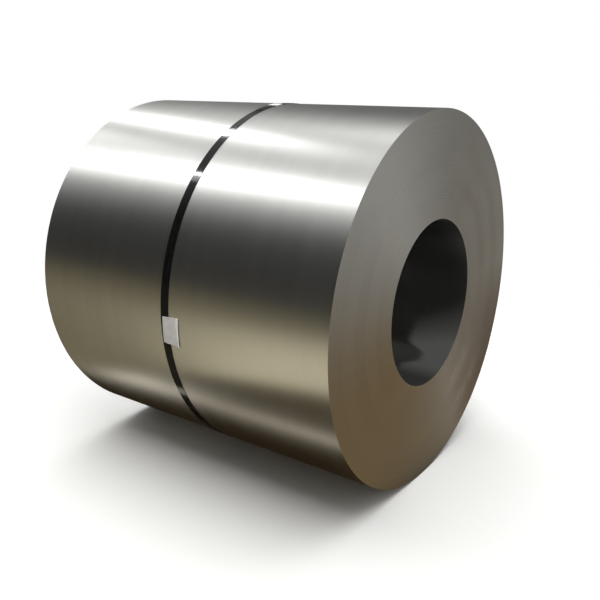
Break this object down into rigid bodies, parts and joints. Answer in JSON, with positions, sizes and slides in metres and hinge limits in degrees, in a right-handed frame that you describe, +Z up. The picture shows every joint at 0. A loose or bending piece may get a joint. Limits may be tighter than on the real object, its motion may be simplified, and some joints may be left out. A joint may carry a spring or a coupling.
{
  "type": "steel coil",
  "caption": "Coil of bright cold-rolled steel strip lying on its side, with a round eye, turns showing on its ends, a black steel strap with a crimped seal, and a blank label.",
  "frame": {"origin": "on the floor under the middle of the coil", "axes": "+X along the coil's axis, towards the end seen in the picture; +Y from the front, where the label is, to the back; +Z up"},
  "size_m": [1.3165, 1.3721, 1.3726],
  "materials": {
    "coil_steel": "satin",
    "strap_black": "gloss",
    "seal_steel": "galvanised",
    "label_paper": "matte"
  },
  "bodies": {
    "root": {"coil": "coil_steel", "strap": "strap_black", "strap_seal": "seal_steel", "label": "label_paper"}
  },
  "joints": []
}
